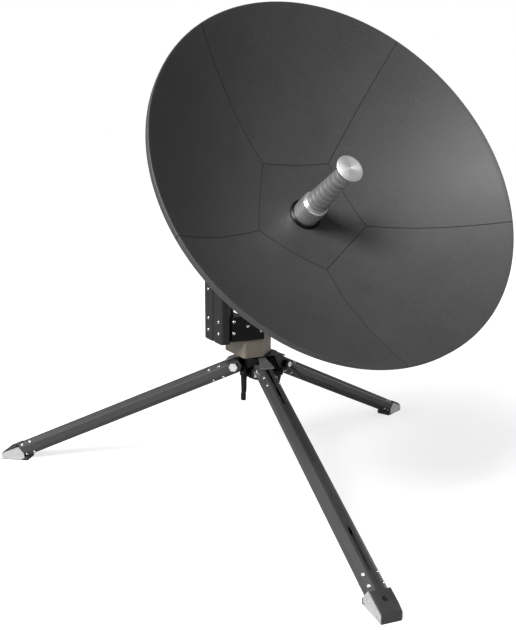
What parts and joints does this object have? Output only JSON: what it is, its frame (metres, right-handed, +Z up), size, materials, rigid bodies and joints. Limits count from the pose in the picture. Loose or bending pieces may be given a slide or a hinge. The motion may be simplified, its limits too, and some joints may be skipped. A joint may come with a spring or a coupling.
{
  "type": "portable satellite antenna",
  "caption": "Portable satellite antenna: petal reflector with splash-plate feed on an azimuth and elevation head and a folding tripod.",
  "frame": {"origin": "on the ground, under the middle of the overall box; the azimuth axis stands at x -49.3 mm, y 157.3 mm", "axes": "+Z up, the reflector looks towards -Y at rest, +X to the right for somebody in front of the antenna who faces the reflector"},
  "size_m": [1.5006, 1.39, 1.3782],
  "materials": {
    "carbon_skin": "matt fine woven carbon fibre",
    "carbon_tube": "satin carbon fibre",
    "black_anodised": "black hard anodised",
    "grey_anodised": "grey anodised",
    "bright_aluminium": "turned and brushed",
    "beige_coating": "beige powder coat",
    "stainless": "bright stainless",
    "steel": "machined",
    "bronze": "sintered bronze",
    "black_plastic": "black moulded"
  },
  "bodies": {
    "tripod_hub": {"hub_casting": "black_anodised", "leg_stop_wedges": "grey_anodised", "hinge_bolts": "stainless", "azimuth_spindle": "steel", "azimuth_gear": "steel"},
    "azimuth_lock": {"azimuth_lock_lever": "black_anodised"},
    "leg_left": {"leg_channels_left": "carbon_tube", "hinge_block_left": "black_anodised", "leg_spacer_left": "black_plastic", "foot_block_left": "black_plastic", "foot_plates_left": "bright_aluminium", "leg_screws_left": "stainless"},
    "leg_front": {"leg_channels_front": "carbon_tube", "hinge_block_front": "black_anodised", "leg_spacer_front": "black_plastic", "foot_block_front": "black_plastic", "foot_plates_front": "bright_aluminium", "leg_screws_front": "stainless"},
    "leg_right": {"leg_channels_right": "carbon_tube", "hinge_block_right": "black_anodised", "leg_spacer_right": "black_plastic", "foot_block_right": "black_plastic", "foot_plates_right": "bright_aluminium", "leg_screws_right": "stainless"},
    "clamp_left": {"clamp_lever_left": "black_anodised"},
    "clamp_front": {"clamp_lever_front": "black_anodised"},
    "clamp_right": {"clamp_lever_right": "black_anodised"},
    "azimuth_head": {"turntable": "black_anodised", "gear_housing": "beige_coating", "housing_lid": "beige_coating", "plain_bushes": "bronze", "uprights": "carbon_tube", "yoke_sides": "black_anodised", "front_plate": "black_anodised", "yoke_screws": "stainless"},
    "azimuth_drive": {"azimuth_pinion": "steel", "azimuth_knob": "black_plastic"},
    "elevation_drive": {"elevation_pinion": "steel", "elevation_crank": "black_anodised"},
    "reflector": {"centre_panel": "carbon_skin", "petal_1": "carbon_skin", "petal_2": "carbon_skin", "petal_3": "carbon_skin", "petal_4": "carbon_skin", "petal_5": "carbon_skin", "hub_plate": "black_anodised", "cradle_arms": "black_anodised", "elevation_axle": "steel", "elevation_sector": "steel", "feed_flange": "black_anodised"},
    "feed": {"feed_collar": "bright_aluminium", "feed_horn": "bright_aluminium", "subreflector": "bright_aluminium", "orthomode_transducer": "bright_aluminium", "lnb": "grey_anodised"},
    "latch_arm_1": {"latch_1": "black_anodised"},
    "latch_arm_2": {"latch_2": "black_anodised"},
    "latch_arm_3": {"latch_3": "black_anodised"},
    "latch_arm_4": {"latch_4": "black_anodised"},
    "latch_arm_5": {"latch_5": "black_anodised"}
  },
  "joints": [
    {"name": "azimuth_turn", "type": "hinge", "parent": "tripod_hub", "child": "azimuth_head", "pos_m": [-0.04932, 0.15725, 0.391], "axis": [0, 0, 1], "continuous": true},
    {"name": "azimuth_knob_turn", "type": "hinge", "parent": "azimuth_head", "child": "azimuth_drive", "pos_m": [-0.04932, 0.19335, 0.43], "axis": [0, 0, 1], "continuous": true},
    {"name": "elevation_tilt", "type": "hinge", "parent": "azimuth_head", "child": "reflector", "pos_m": [-0.04932, 0.15725, 0.675], "axis": [-1, 0, 0], "range_deg": [-21, 54]},
    {"name": "elevation_crank_turn", "type": "hinge", "parent": "azimuth_head", "child": "elevation_drive", "pos_m": [0.04668, 0.15725, 0.5669], "axis": [-1, 0, 0], "range_deg": [-270, 105]},
    {"name": "polarization_turn", "type": "hinge", "parent": "reflector", "child": "feed", "pos_m": [-0.04932, -0.10075, 0.83003], "axis": [0, -0.8572, 0.515], "range_deg": [-90, 90]},
    {"name": "azimuth_lock_swing", "type": "hinge", "parent": "tripod_hub", "child": "azimuth_lock", "pos_m": [-0.11744, 0.12834, 0.345], "axis": [-0.3907, 0.9205, 0], "range_deg": [0, 80]},
    {"name": "leg_left_fold", "type": "hinge", "parent": "tripod_hub", "child": "leg_left", "pos_m": [-0.11002, 0.20299, 0.352], "axis": [-0.6018, -0.7986, 0], "range_deg": [0, 65]},
    {"name": "leg_front_fold", "type": "hinge", "parent": "tripod_hub", "child": "leg_front", "pos_m": [-0.07213, 0.0836, 0.352], "axis": [0.9914, -0.1305, 0], "range_deg": [0, 65]},
    {"name": "leg_right_fold", "type": "hinge", "parent": "tripod_hub", "child": "leg_right", "pos_m": [0.02064, 0.18695, 0.352], "axis": [-0.3907, 0.9205, 0], "range_deg": [0, 65]},
    {"name": "clamp_left_turn", "type": "hinge", "parent": "tripod_hub", "child": "clamp_left", "pos_m": [-0.07932, 0.24372, 0.352], "axis": [-0.6018, -0.7986, 0], "range_deg": [-30, 45]},
    {"name": "clamp_front_turn", "type": "hinge", "parent": "tripod_hub", "child": "clamp_front", "pos_m": [-0.02156, 0.07694, 0.352], "axis": [0.9914, -0.1305, 0], "range_deg": [-45, 25]},
    {"name": "clamp_right_turn", "type": "hinge", "parent": "tripod_hub", "child": "clamp_right", "pos_m": [0.04057, 0.14, 0.352], "axis": [-0.3907, 0.9205, 0], "range_deg": [-30, 45]},
    {"name": "latch_1_swing", "type": "hinge", "parent": "reflector", "child": "latch_arm_1", "pos_m": [-0.04932, -0.03406, 0.93228], "axis": [-1, 0, 0], "range_deg": [0, 95]},
    {"name": "latch_2_swing", "type": "hinge", "parent": "reflector", "child": "latch_arm_2", "pos_m": [0.06671, -0.07748, 0.86002], "axis": [-0.309, 0.4898, 0.8152], "range_deg": [0, 95]},
    {"name": "latch_3_swing", "type": "hinge", "parent": "reflector", "child": "latch_arm_3", "pos_m": [0.02239, -0.14773, 0.74311], "axis": [0.809, 0.3027, 0.5038], "range_deg": [0, 95]},
    {"name": "latch_4_swing", "type": "hinge", "parent": "reflector", "child": "latch_arm_4", "pos_m": [-0.12103, -0.14773, 0.74311], "axis": [0.809, -0.3027, -0.5038], "range_deg": [0, 95]},
    {"name": "latch_5_swing", "type": "hinge", "parent": "reflector", "child": "latch_arm_5", "pos_m": [-0.16535, -0.07748, 0.86002], "axis": [-0.309, -0.4898, -0.8152], "range_deg": [0, 95]}
  ],
  "couplings": [
    {"joint": "azimuth_knob_turn", "follows": "azimuth_turn", "ratio": 1.6667},
    {"joint": "elevation_crank_turn", "follows": "elevation_tilt", "ratio": -5}
  ]
}
